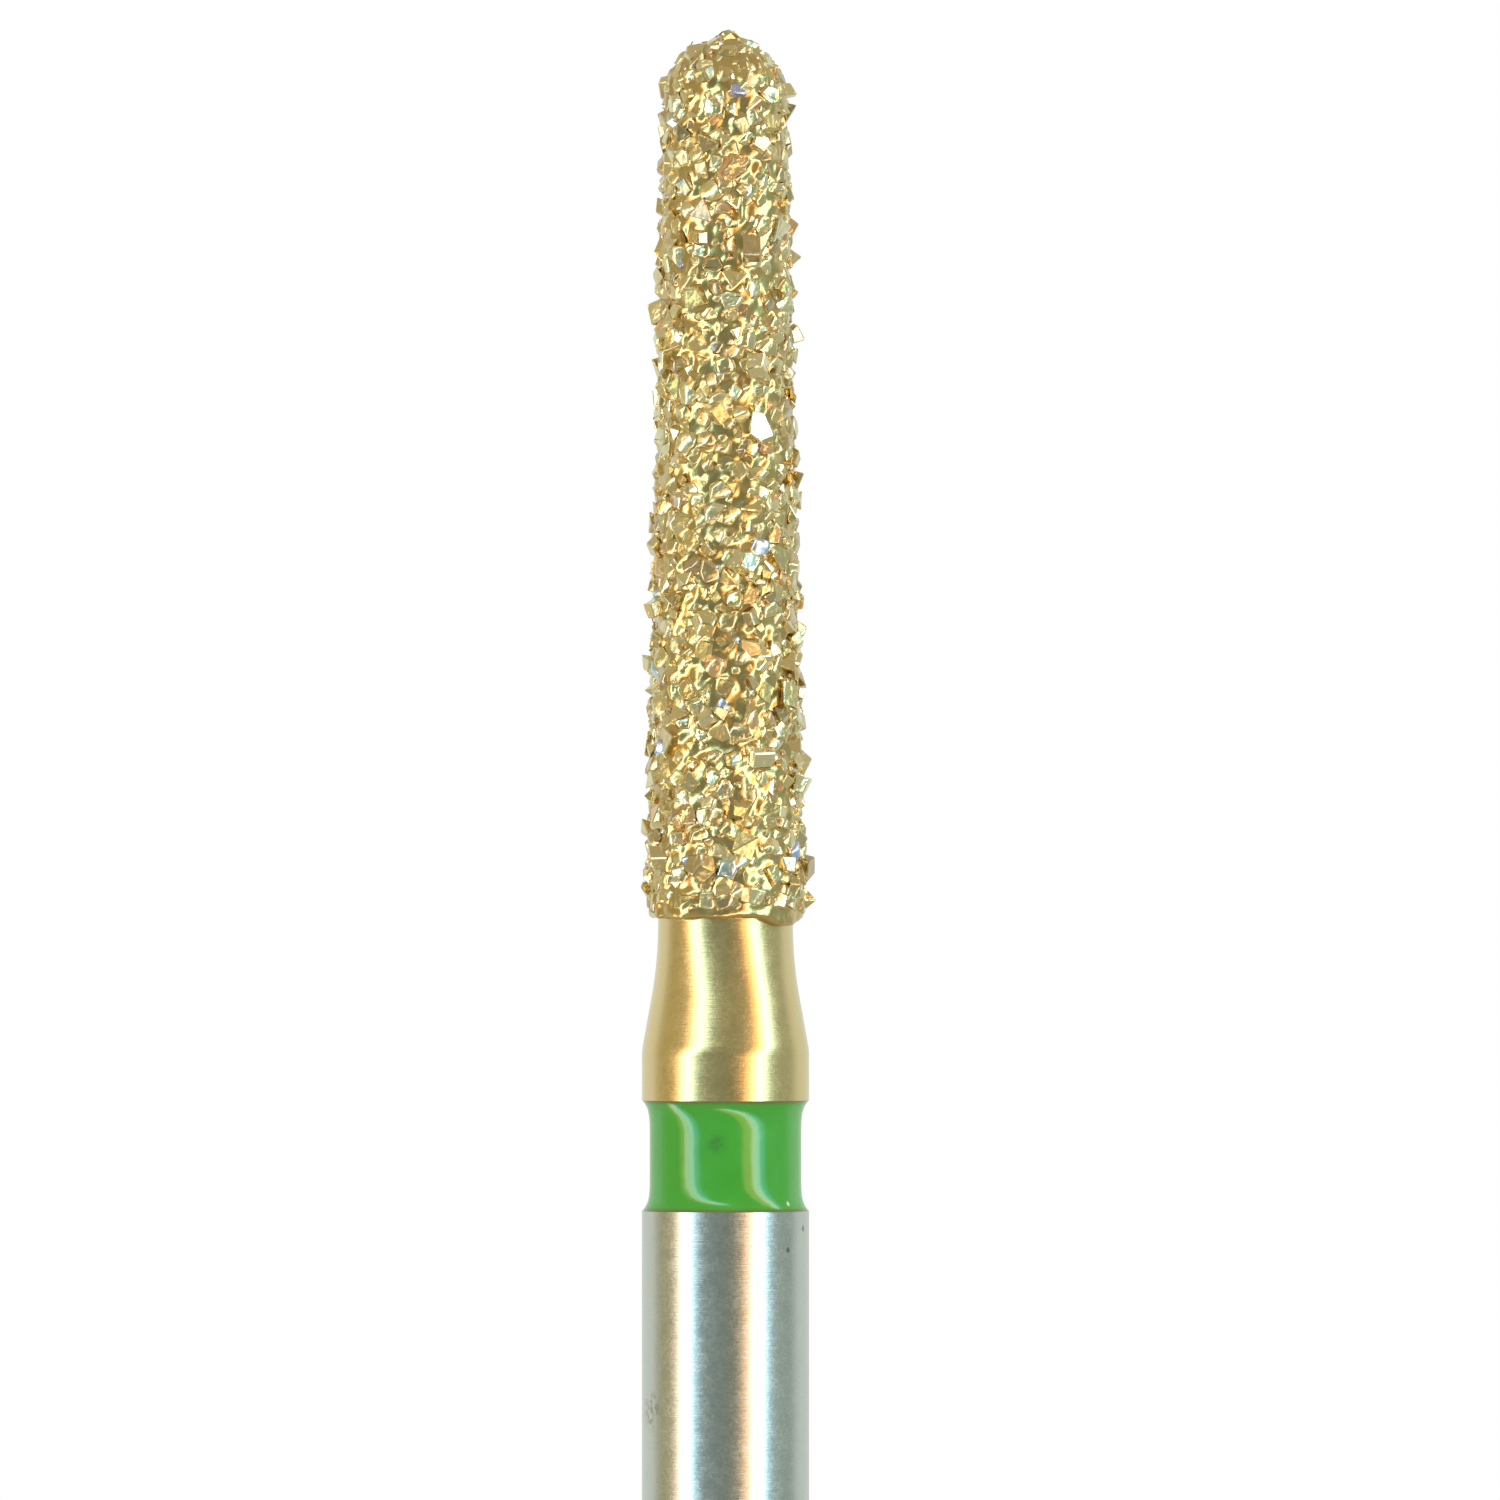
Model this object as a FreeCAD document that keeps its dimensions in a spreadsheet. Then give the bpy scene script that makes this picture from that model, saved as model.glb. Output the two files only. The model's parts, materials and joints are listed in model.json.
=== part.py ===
# Dental diamond bur: a round-ended taper on a friction-grip shank.
# It stands on the end of its shank, with the head up and the spindle along +Z. Millimetres and degrees.
import FreeCAD, Part
import math
import os
import random

import Sketcher

Vector = FreeCAD.Vector

# The driving sizes. Heights run from the shank's end upwards.
SIZES = [
    ("shank_dia", 1.6),  # the handpiece's chuck grips this
    ("shank_length", 10.2),  # from the shank's end to the ring groove
    ("end_chamfer", 0.2),
    ("ring_length", 1.06),  # the groove that holds the colour ring
    ("ring_sink", 0.07),  # from the shank's surface down to the lacquer's waist
    ("ring_film", 0.09),  # the lacquer's thickness beside its waist
    ("ring_meniscus", 0.17),  # how far the lacquer creeps along the spindle at each wall
    ("ring_hollow", 0.006),  # how much deeper the middle of the waist lies than its ends
    ("land_length", 0.48),  # full-diameter collar above the ring
    ("shoulder_length", 0.86),  # cone from the collar to the neck
    ("shoulder_radius", 0.6),  # blends collar and cone
    ("flare_radius", 4.0),  # blends cone and neck
    ("neck_dia", 1.29),
    ("neck_length", 0.4),
    ("head_length", 8.4),  # from the coat's lower edge to its round end
    ("taper_angle", 1.25),  # of one side of the head to the spindle
    ("bond_thickness", 0.09),  # electroplated metal round the head's core
    ("bond_lip", 0.03),  # bevel of the coat's lower edge
    ("grain_size", 0.29),  # across a middling crystal
    ("grain_height_share", 0.72),  # a lying crystal's height as a share of its width
    ("grain_spread", 0.4),  # the largest crystals are this share over grain_size, the smallest under it
    ("grain_buried", 0.43),  # share of a crystal's height that the coat holds
    ("grain_gap", 0.004),  # clear distance between neighbouring crystals
    ("grain_cover_share", 0.95),  # outlines of the balls round the crystals, as a share of the coat's area
]
BLEND_SHARE = 0.95  # of the shorter wall beside it that a blend may take up
GRIT_SEED = 21
BROKEN_POINTS = 0.05  # share of the crystals whose top is broken off
SIZE_CLASSES = 6  # from the largest crystals to the smallest
DARTS_PER_CRYSTAL = 40  # places tried at most for each crystal wanted
NEAREST_SHARE = 0.55  # of a crystal's size: no other crystal's middle lies nearer
BURY_SWING = 0.2  # how far the share that the coat holds varies from crystal to crystal
SLIMMEST_SHARE = 0.78  # a crystal's least reach as a share of its greatest, before it is turned
FINEST_EDGE = 0.012  # a crystal with a shorter edge isn't set
UNEVEN = 0.22  # how far a crystal's corner strays from its even place, as a share of a side's turn
NARROWEST_SHARE = 0.6  # a block's least top as a share of its foot

# Crystals that stand upright and proud of the rest: (share of the way from the round end down to the
# lip, angle round the spindle from +X in degrees, size over grain_size, share of it that the coat holds).
PROUD_CRYSTALS = [
    (0.010, 12, 1.05, 0.50),
    (0.036, 185, 0.80, 0.56),
    (0.088, 178, 1.15, 0.50),
    (0.092, 2, 1.00, 0.50),
    (0.243, 3, 1.20, 0.48),
    (0.336, 181, 1.30, 0.30),
    (0.360, 2, 1.10, 0.40),
    (0.519, 358, 1.10, 0.46),
    (0.683, 1, 0.95, 0.46),
    (0.722, 182, 1.05, 0.46),
    (0.903, 181, 1.00, 0.46),
    (0.943, 0, 0.95, 0.46),
    (0.970, 186, 0.95, 0.46),
    (0.979, 356, 1.00, 0.34),
]

doc = FreeCAD.newDocument("dental_bur")
sheet = doc.addObject("Spreadsheet::Sheet", "sizes")
for row, (alias, size) in enumerate(SIZES, 1):
    sheet.set(f"A{row}", alias)
    sheet.set(f"B{row}", str(size))
    sheet.setAlias(f"B{row}", alias)
doc.recompute()

# Sizes that follow from the sheet, as expressions on its cells.
SHANK_R = "sizes.shank_dia / 2"
NECK_R = "sizes.neck_dia / 2"
RING_FOOT_Z = "sizes.shank_length"
RING_TOP_Z = f"{RING_FOOT_Z} + sizes.ring_length"
LAND_TOP_Z = f"{RING_TOP_Z} + sizes.land_length"
NECK_FOOT_Z = f"{LAND_TOP_Z} + sizes.shoulder_length"
HEAD_FOOT_Z = f"{NECK_FOOT_Z} + sizes.neck_length"
APEX_Z = f"{HEAD_FOOT_Z} + sizes.head_length"
CORE_APEX_Z = f"{APEX_Z} - sizes.bond_thickness"
WAIST_R = f"{SHANK_R} - sizes.ring_sink"
GROOVE_R = f"{WAIST_R} - sizes.ring_film"
SIN_TAPER = "sin(sizes.taper_angle)"
COS_TAPER = "cos(sizes.taper_angle)"
# The core's round end is the ball that fits the taper and touches the core's apex.
CORE_BALL_R = (
    f"({NECK_R} * {COS_TAPER} - (sizes.head_length - sizes.bond_thickness) * {SIN_TAPER})"
    f" / (1 - {SIN_TAPER})"
)
COAT_BALL_R = f"({CORE_BALL_R} + sizes.bond_thickness)"
BALL_Z = f"({APEX_Z} - {COAT_BALL_R})"
COAT_FOOT_R = f"({NECK_R} + sizes.bond_thickness / {COS_TAPER})"
# The angle by which the cone leaves the spindle's direction, and how long its side is.
SHOULDER_DROP = f"({SHANK_R} - {NECK_R})"
SHOULDER_TURN = f"atan({SHOULDER_DROP} / sizes.shoulder_length)"
SHOULDER_SIDE = f"(sizes.shoulder_length / cos({SHOULDER_TURN}))"


def value(expression):
    """The number that an expression on the sheet gives now."""
    return float(sheet.evalExpression(expression))


def new_body(label):
    """An empty body whose name and label are the sub-part's."""
    body = doc.addObject("PartDesign::Body", label)
    body.Label = label
    return body


def draw_profile(body, name, corners):
    """A closed half-section beside the spindle, on the body's own XZ plane.

    corners are (radius, height, bend): expressions for a corner's place, and for the radius of the arc
    that runs on to the next corner, or None for a straight line. A bend that starts with "hollow"
    curves into the material. A radius of "0" puts the corner on the spindle.
    """
    sketch = body.newObject("Sketcher::SketchObject", name)
    plane = [f for f in body.Origin.OriginFeatures if f.Role == "XZ_Plane"][0]
    sketch.AttachmentSupport = [(plane, "")]
    sketch.MapMode = "FlatFace"
    places = [Vector(value(radius), value(height), 0) for radius, height, bend in corners]
    for here, (radius, height, bend) in enumerate(corners):
        start, end = places[here], places[(here + 1) % len(corners)]
        if bend is None:
            sketch.addGeometry(Part.LineSegment(start, end))
            continue
        hollow = bend.startswith("hollow")
        bulge = value(bend.removeprefix("hollow"))
        half_chord = (end - start) * 0.5
        right = Vector(half_chord.y, -half_chord.x, 0).normalize()
        outward = right * (-1 if hollow else 1)
        to_centre = math.sqrt(bulge**2 - half_chord.Length**2)
        middle = start + half_chord + outward * (bulge - to_centre)
        sketch.addGeometry(Part.Arc(start, middle, end))
    for here, (radius, height, bend) in enumerate(corners):
        following = (here + 1) % len(corners)
        # an arc that turns clockwise is stored the other way round, so its ends are looked up
        first, last = end_points(sketch, here, places[here])
        next_first, next_last = end_points(sketch, following, places[following])
        sketch.addConstraint(Sketcher.Constraint("Coincident", here, last, following, next_first))
        if radius == "0":
            sketch.addConstraint(Sketcher.Constraint("PointOnObject", here, first, -2))
        else:
            bind(sketch, Sketcher.Constraint("DistanceX", -1, 1, here, first, places[here].x), radius)
        if height == "0":
            sketch.addConstraint(Sketcher.Constraint("PointOnObject", here, first, -1))
        else:
            bind(sketch, Sketcher.Constraint("DistanceY", -1, 1, here, first, places[here].y), height)
        if bend is not None:
            expression = bend.removeprefix("hollow")
            bind(sketch, Sketcher.Constraint("Radius", here, value(expression)), expression)
    return sketch


def end_points(sketch, edge, start):
    """Which of an edge's two ends, 1 or 2, lies at start, and which is the other."""
    if (sketch.getPoint(edge, 1) - start).Length < 1e-6:
        return 1, 2
    return 2, 1


def bind(sketch, constraint, expression):
    """Adds a constraint whose size follows an expression."""
    index = sketch.addConstraint(constraint)
    sketch.setExpression(f"Constraints[{index}]", expression)


def spin(body, kind, name, sketch):
    """Turns a profile once round the spindle, as a Revolution or a Groove."""
    turned = body.newObject(f"PartDesign::{kind}", name)
    turned.Profile = sketch
    turned.ReferenceAxis = (sketch, ["V_Axis"])
    turned.Angle = 360
    doc.recompute()
    return turned


def ring_edge(feature, radius, height):
    """The name of the round edge of that radius at that height."""
    for index, edge in enumerate(feature.Shape.Edges, 1):
        if edge.Degenerated or not isinstance(edge.Curve, Part.Circle):
            continue
        if abs(edge.Curve.Radius - radius) < 1e-5 and abs(edge.Curve.Center.z - height) < 1e-5:
            return f"Edge{index}"
    raise ValueError(f"{feature.Name} has no round edge of radius {radius} at {height}")


def edge_feature(body, kind, name, base, place, size):
    """Changes the edge at place, which is (radius, height) as expressions, by the feature's size."""
    feature = body.newObject(f"PartDesign::{kind}", name)
    feature.Base = (base, [ring_edge(base, value(place[0]), value(place[1]))])
    feature.setExpression("Radius" if kind == "Fillet" else "Size", size)
    doc.recompute()
    return feature


def blend(body, name, base, place, radius):
    """Rounds an edge."""
    return edge_feature(body, "Fillet", name, base, place, radius)


def bevel(body, name, base, place, size):
    """Cuts an edge off at half its corner."""
    return edge_feature(body, "Chamfer", name, base, place, size)


def make_blank():
    """Shank, ring groove, collar, neck and the head's core, turned from one steel bar."""
    body = new_body("steel_blank")
    sketch = draw_profile(
        body,
        "blank_profile",
        [
            ("0", "0", None),
            (SHANK_R, "0", None),
            (SHANK_R, LAND_TOP_Z, None),
            (NECK_R, NECK_FOOT_Z, None),
            (NECK_R, HEAD_FOOT_Z, None),
            (f"{CORE_BALL_R} * {COS_TAPER}", f"{BALL_Z} + {CORE_BALL_R} * {SIN_TAPER}", CORE_BALL_R),
            ("0", CORE_APEX_Z, None),
        ],
    )
    turned = spin(body, "Revolution", "turned_bar", sketch)
    # A blend takes a length of each wall beside it: its radius times the tangent of half the turn.
    half_turn = f"tan({SHOULDER_TURN} / 2)"
    shoulder_room = f"min(sizes.land_length; {SHOULDER_SIDE} / 2) * {BLEND_SHARE} / {half_turn}"
    flare_room = f"min(sizes.neck_length; {SHOULDER_SIDE} / 2) * {BLEND_SHARE} / {half_turn}"
    shoulder = blend(
        body,
        "shoulder_blend",
        turned,
        (SHANK_R, LAND_TOP_Z),
        f"min(sizes.shoulder_radius; {shoulder_room})",
    )
    flare = blend(
        body,
        "flare_blend",
        shoulder,
        (NECK_R, NECK_FOOT_Z),
        f"min(sizes.flare_radius; {flare_room})",
    )
    whole = flare.Shape.Volume
    channel = draw_profile(
        body,
        "ring_groove_profile",
        [
            (GROOVE_R, RING_FOOT_Z, None),
            (f"{SHANK_R} + sizes.ring_sink", RING_FOOT_Z, None),
            (f"{SHANK_R} + sizes.ring_sink", RING_TOP_Z, None),
            (GROOVE_R, RING_TOP_Z, None),
        ],
    )
    groove = spin(body, "Groove", "ring_groove", channel)
    if groove.Shape.Volume >= whole:
        raise ValueError("the ring groove cut nothing")
    bevel(body, "end_chamfer", groove, (SHANK_R, "0"), "sizes.end_chamfer")
    return body


def make_ring():
    """The coloured lacquer that fills the groove, hollow across its waist."""
    body = new_body("colour_ring")
    meniscus_r = "((sizes.ring_sink ^ 2 + sizes.ring_meniscus ^ 2) / (2 * sizes.ring_sink))"
    half_waist = "(sizes.ring_length / 2 - sizes.ring_meniscus)"
    waist_bend = f"(({half_waist} ^ 2 + sizes.ring_hollow ^ 2) / (2 * sizes.ring_hollow))"
    sketch = draw_profile(
        body,
        "ring_profile",
        [
            (GROOVE_R, RING_FOOT_Z, None),
            (SHANK_R, RING_FOOT_Z, f"hollow{meniscus_r}"),
            (WAIST_R, f"{RING_FOOT_Z} + sizes.ring_meniscus", f"hollow{waist_bend}"),
            (WAIST_R, f"{RING_TOP_Z} - sizes.ring_meniscus", f"hollow{meniscus_r}"),
            (SHANK_R, RING_TOP_Z, None),
            (GROOVE_R, RING_TOP_Z, None),
        ],
    )
    spin(body, "Revolution", "lacquer", sketch)
    return body


def make_coat():
    """The plated metal that closes over the head's core and holds the crystals."""
    body = new_body("bond_coat")
    sketch = draw_profile(
        body,
        "coat_profile",
        [
            (NECK_R, HEAD_FOOT_Z, None),
            (COAT_FOOT_R, HEAD_FOOT_Z, None),
            (f"{COAT_BALL_R} * {COS_TAPER}", f"{BALL_Z} + {COAT_BALL_R} * {SIN_TAPER}", COAT_BALL_R),
            ("0", APEX_Z, None),
            ("0", CORE_APEX_Z, f"hollow{CORE_BALL_R}"),
            (f"{CORE_BALL_R} * {COS_TAPER}", f"{BALL_Z} + {CORE_BALL_R} * {SIN_TAPER}", None),
        ],
    )
    plated = spin(body, "Revolution", "plating", sketch)
    bevel(body, "lip", plated, (COAT_FOOT_R, HEAD_FOOT_Z), "min(sizes.bond_lip; sizes.bond_thickness / 2)")
    return body


class Coat:
    """The coat's outer surface, as seats for crystals."""

    def __init__(self):
        self.ball_r = value(COAT_BALL_R)
        self.ball_z = value(BALL_Z)
        self.foot_r = value(COAT_FOOT_R)
        self.foot_z = value(HEAD_FOOT_Z)
        self.taper = math.radians(value("sizes.taper_angle"))
        shoulder_z = self.ball_z + self.ball_r * math.sin(self.taper)
        self.side = (shoulder_z - self.foot_z) / math.cos(self.taper)
        self.cap = self.ball_r * (math.pi / 2 - self.taper)
        cap_height = self.ball_r * (1 - math.sin(self.taper))
        side_area = math.pi * (self.foot_r + self.ball_r * math.cos(self.taper)) * self.side
        self.area = side_area + 2 * math.pi * self.ball_r * cap_height

    def seat(self, climb, turn):
        """The place and outward normal at a distance up the side, on over the round end, and an angle."""
        if climb <= self.side:
            tilt = self.taper
            radius = self.foot_r - climb * math.sin(self.taper)
            height = self.foot_z + climb * math.cos(self.taper)
        else:
            tilt = self.taper + (climb - self.side) / self.ball_r
            radius = self.ball_r * math.cos(tilt)
            height = self.ball_z + self.ball_r * math.sin(tilt)
        across = Vector(math.cos(turn), math.sin(turn), 0)
        return across * radius + Vector(0, 0, height), across * math.cos(tilt) + Vector(0, 0, math.sin(tilt))


def chip(facets, point, normal):
    """A convex crystal, given by its facets' corners, without what lies beyond a plane."""
    kept, rim = [], []
    for corners in facets:
        left = []
        for here, following in zip(corners, corners[1:] + corners[:1]):
            beyond, next_beyond = (here - point).dot(normal), (following - point).dot(normal)
            if beyond <= 0:
                left.append(here)
            if beyond * next_beyond < 0:
                crossing = here + (following - here) * (beyond / (beyond - next_beyond))
                left.append(crossing)
                if all((crossing - other).Length > 1e-9 for other in rim):
                    rim.append(crossing)
        if len(left) > 2:
            kept.append(left)
    if len(rim) > 2:
        middle = sum(rim, Vector()) / len(rim)
        first = (rim[0] - middle).normalize()
        second = normal.cross(first)
        rim.sort(key=lambda corner: math.atan2((corner - middle).dot(second), (corner - middle).dot(first)))
        kept.append(rim)
    return kept


def around(rng, sides):
    """Corners about evenly spaced round a circle of radius 1."""
    turns = [2 * math.pi * (k + rng.uniform(-UNEVEN, UNEVEN)) / sides for k in range(sides)]
    return [Vector(math.cos(turn), math.sin(turn), 0) for turn in turns]


def prism(rng, sides):
    """The facets of an upright block that narrows upwards, within a ball of radius 1."""
    half, narrowing = math.sqrt(1 / sides), rng.uniform(NARROWEST_SHARE, 1)
    ring = [corner * math.sqrt(1 - half**2) for corner in around(rng, sides)]
    foot = [corner - Vector(0, 0, half) for corner in ring]
    top = [corner * narrowing + Vector(0, 0, half) for corner in ring]
    return [foot, top] + [[foot[k - 1], foot[k], top[k], top[k - 1]] for k in range(sides)]


def bipyramid(rng):
    """The facets of two three-sided pyramids base to base, whose corners lie on a ball of radius 1."""
    ring = around(rng, 3)
    return [[ring[k - 1], ring[k], Vector(0, 0, tip)] for k in range(3) for tip in (1, -1)]


def wedge(rng):
    return prism(rng, 3)


def block(rng):
    return prism(rng, 4)


def column(rng):
    return prism(rng, 5)


CRYSTAL_HABITS = [wedge, wedge, block, block, column, bipyramid, bipyramid]


def random_turning(rng):
    """A turn by any angle about any axis."""
    return FreeCAD.Rotation(
        Vector(rng.gauss(0, 1), rng.gauss(0, 1), rng.gauss(0, 1)), rng.uniform(0, 360)
    )


def rough_crystal(rng, size, height):
    """A block, wedge or bipyramid of that size, squashed and turned at random and lying as low as its
    height over its width says, now and then with its top broken off."""
    habit = rng.choice(CRYSTAL_HABITS)
    squash = [size / 2 * rng.uniform(SLIMMEST_SHARE, 1) for axis in range(3)]
    first, second = random_turning(rng), random_turning(rng)
    facets = []
    for corners in habit(rng):
        turned = [first.multVec(corner) for corner in corners]
        squashed = [Vector(*(along * out for along, out in zip(corner, squash))) for corner in turned]
        lying = [second.multVec(corner) for corner in squashed]
        facets.append([Vector(corner.x, corner.y, corner.z * height) for corner in lying])
    if rng.random() < BROKEN_POINTS:
        highest = max((corner for corners in facets for corner in corners), key=lambda corner: corner.z)
        slant = Vector(rng.uniform(-1, 1), rng.uniform(-1, 1), 0) * highest.z * 0.5
        facets = chip(facets, highest * rng.uniform(0.6, 0.85), (highest + slant).normalize())
    return facets


def seated(facets, place, normal, held):
    """The crystal sunk into a seat by a share of its height, and cut off at the seat's tangent plane."""
    heights = [corner.z for corners in facets for corner in corners]
    sunk = Vector(0, 0, min(heights) + held * (max(heights) - min(heights)))
    turning = FreeCAD.Rotation(Vector(0, 0, 1), normal)
    moved = [[turning.multVec(corner - sunk) + place for corner in corners] for corners in facets]
    return chip(moved, place, normal * -1)


def outward_normal(corners, inside):
    """The unit normal of a facet, away from a point inside the crystal."""
    normal = (corners[1] - corners[0]).cross(corners[2] - corners[1]).normalize()
    return normal if normal.dot(corners[0] - inside) > 0 else normal * -1


class Crystal:
    """A seated crystal, with the room that it takes up."""

    def __init__(self, facets):
        corners = [corner for ring in facets for corner in ring]
        self.facets = facets
        self.middle = sum(corners, Vector()) / len(corners)
        self.corners = [corner - self.middle for corner in corners]
        self.reach = max(corner.Length for corner in self.corners)
        edges = [there - here for ring in facets for here, there in zip(ring, ring[1:] + ring[:1])]
        self.finest = min(edge.Length for edge in edges)

    def extent(self, direction):
        """How far it reaches from its middle along a direction."""
        return max(corner.dot(direction) for corner in self.corners)

    def sides(self, direction):
        """The outward normals of its facets that face that way."""
        normals = [outward_normal(corners, self.middle) for corners in self.facets]
        return [normal for normal in normals if normal.dot(direction) > 0.5]

    def stands_over(self, place):
        """True where the point of the coat that it is seated on lies under it."""
        walls = [(corners[0], outward_normal(corners, self.middle)) for corners in self.facets]
        return all((place - corner).dot(normal) < 1e-6 for corner, normal in walls)

    def clears(self, other, gap):
        """True where a plane parts them by the gap: square to the line between them, or along a facet."""
        apart = other.middle - self.middle
        if apart.Length > self.reach + other.reach + gap:
            return True
        towards = Vector(apart).normalize()
        if apart.Length > self.extent(towards) + other.extent(towards * -1) + gap:
            return True
        tries = self.sides(towards) + [normal * -1 for normal in other.sides(towards * -1)]
        return any(
            apart.dot(normal) > self.extent(normal) + other.extent(normal * -1) + gap for normal in tries
        )


class Grit:
    """The crystals set so far, kept in bands up the spindle so that neighbours are found quickly."""

    def __init__(self, coat, largest, gap):
        self.coat = coat
        self.band_height = largest + gap
        self.gap = gap
        self.bands = {}
        self.crystals = []

    def near(self, middle):
        band = int(middle.z // self.band_height)
        return [crystal for step in (-1, 0, 1) for crystal in self.bands.get(band + step, [])]

    def try_crystal(self, rng, climb, turn, size, height, held):
        """Sets a crystal unless it would pass the foot, miss its seat, touch another or be too fine."""
        place, normal = self.coat.seat(climb, turn)
        middle = place + normal * (size * height * (1 - held) / 2)
        neighbours = self.near(middle)
        if any((other.middle - middle).Length < size * NEAREST_SHARE for other in neighbours):
            return False
        crystal = Crystal(seated(rough_crystal(rng, size, height), place, normal, held))
        if climb < crystal.reach or crystal.finest < FINEST_EDGE or not crystal.stands_over(place):
            return False
        if not all(crystal.clears(other, self.gap) for other in neighbours):
            return False
        self.bands.setdefault(int(crystal.middle.z // self.band_height), []).append(crystal)
        self.crystals.append(crystal)
        return True


def scatter_crystals():
    """Crystals over the whole coat, the large ones first and smaller ones in the room between."""
    coat = Coat()
    rng = random.Random(GRIT_SEED)
    size, spread = value("sizes.grain_size"), value("sizes.grain_spread")
    height, buried = value("sizes.grain_height_share"), value("sizes.grain_buried")
    cover = value("sizes.grain_cover_share")
    whole = coat.side + coat.cap
    largest = size * max([1 + spread] + [over for share, degrees, over, held in PROUD_CRYSTALS])
    grit = Grit(coat, largest, value("sizes.grain_gap"))
    for share, degrees, over, held in PROUD_CRYSTALS:
        grit.try_crystal(rng, whole * (1 - share), math.radians(degrees), size * over, 1, held)
    for step in range(SIZE_CLASSES):
        grain = size * (1 + spread * (1 - 2 * step / (SIZE_CLASSES - 1)))
        wanted = round(cover / SIZE_CLASSES * coat.area / (math.pi * (grain / 2) ** 2))
        for dart in range(wanted * DARTS_PER_CRYSTAL):
            climb, turn = whole * rng.random(), 2 * math.pi * rng.random()
            place, normal = coat.seat(climb, turn)
            # the round end has less room at a given height, so fewer darts count there
            if math.hypot(place.x, place.y) < coat.foot_r * rng.random():
                continue
            held = buried + rng.uniform(-BURY_SWING, BURY_SWING)
            wanted -= grit.try_crystal(rng, climb, turn, grain, height, held)
            if not wanted:
                break
    return [crystal.facets for crystal in grit.crystals]


def make_grit():
    """The diamond crystals, each a solid of its own that stands on the coat."""
    solids = []
    for facets in scatter_crystals():
        faces = [Part.Face(Part.makePolygon(corners + corners[:1])) for corners in facets]
        solids.append(Part.Solid(Part.Shell(faces)))
    grit = doc.addObject("Part::Feature", "diamond_grit")
    grit.Label = "diamond_grit"
    grit.Shape = Part.makeCompound(solids)
    grit.Placement = FreeCAD.Placement()
    return grit


nodes = [make_blank(), make_ring(), make_coat(), make_grit()]
doc.recompute()
for item in doc.Objects:
    if "Invalid" in item.State or "Error" in item.State:
        raise ValueError(f"{item.Name} failed: {item.State}")
os.makedirs("parts", exist_ok=True)
for node in nodes:
    shape = node.Shape
    if shape.isNull() or not shape.isValid() or min(solid.Volume for solid in shape.Solids) <= 0:
        raise ValueError(f"{node.Label} has no sound shape")
    shape.exportStep(f"parts/{node.Label}.step")
    print(f"{node.Label}: {len(shape.Solids)} solids, {len(shape.Faces)} faces, {shape.Volume:.4f} mm3")
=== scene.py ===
import json
import math
import random

import bpy
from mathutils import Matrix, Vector

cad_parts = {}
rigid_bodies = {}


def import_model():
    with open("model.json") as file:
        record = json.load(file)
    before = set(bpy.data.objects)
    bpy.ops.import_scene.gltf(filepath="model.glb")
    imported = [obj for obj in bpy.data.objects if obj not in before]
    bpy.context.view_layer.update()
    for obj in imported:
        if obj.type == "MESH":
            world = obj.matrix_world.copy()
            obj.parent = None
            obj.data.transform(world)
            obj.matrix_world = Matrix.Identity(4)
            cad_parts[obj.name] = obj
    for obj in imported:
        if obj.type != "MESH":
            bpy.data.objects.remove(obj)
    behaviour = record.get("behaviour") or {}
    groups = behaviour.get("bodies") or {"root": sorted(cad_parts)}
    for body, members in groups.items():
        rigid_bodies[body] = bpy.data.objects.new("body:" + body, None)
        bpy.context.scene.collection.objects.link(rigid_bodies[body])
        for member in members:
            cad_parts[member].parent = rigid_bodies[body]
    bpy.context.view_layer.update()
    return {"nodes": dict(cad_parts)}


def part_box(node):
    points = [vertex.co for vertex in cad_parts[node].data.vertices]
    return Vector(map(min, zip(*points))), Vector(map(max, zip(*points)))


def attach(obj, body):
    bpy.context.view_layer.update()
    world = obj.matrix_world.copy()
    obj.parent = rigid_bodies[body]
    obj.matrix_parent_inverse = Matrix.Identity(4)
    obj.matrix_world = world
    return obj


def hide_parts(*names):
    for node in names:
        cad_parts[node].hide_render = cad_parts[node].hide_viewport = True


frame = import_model()

# Pieces are modelled in millimetres and shrunk to metres when they are done.
MM = 0.001

# Sizes of the bur, in millimetres.
blank_low, blank_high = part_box("steel_blank")
ring_low, ring_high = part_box("colour_ring")
coat_low, coat_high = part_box("bond_coat")
SHANK_R = blank_high.x / MM
SHANK_END_BEVEL = 0.2
RING_FOOT = ring_low.z / MM
RING_TOP = ring_high.z / MM
RING_SINK = 0.07
RING_FILM = 0.09
LACQUER_SINK = 0.075
LAND_TOP = RING_TOP + 0.48
NECK_FOOT = LAND_TOP + 0.86
SHOULDER_BEND = 0.6
FLARE_BEND = 4.0
NECK_R = 0.645
HEAD_FOOT = coat_low.z / MM
APEX = coat_high.z / MM
TAPER = math.radians(1.25)
PLATING = 0.09
LIP = 0.03
# The lowest seats of the finer grains stand that far over the head's foot.
SEAT_RISE = 0.13
# The coat's ripples: how long and how high.
RIPPLE_SIZE = 0.25
RIPPLE_HEIGHT = 0.07
CORE_BALL_R = (NECK_R * math.cos(TAPER) - (APEX - PLATING - HEAD_FOOT) * math.sin(TAPER)) / (1 - math.sin(TAPER))
COAT_BALL_R = CORE_BALL_R + PLATING
BALL_Z = APEX - COAT_BALL_R
COAT_FOOT_R = NECK_R + PLATING / math.cos(TAPER)

# The photograph: pixels to a millimetre, and the place in its frame of the spindle and the ring's foot.
PHOTO_SIZE = 1500
PHOTO_SCALE = 104.5
SPINDLE_PIXEL = 725.5
RING_FOOT_PIXEL = 1211


# Modelling helpers


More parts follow.
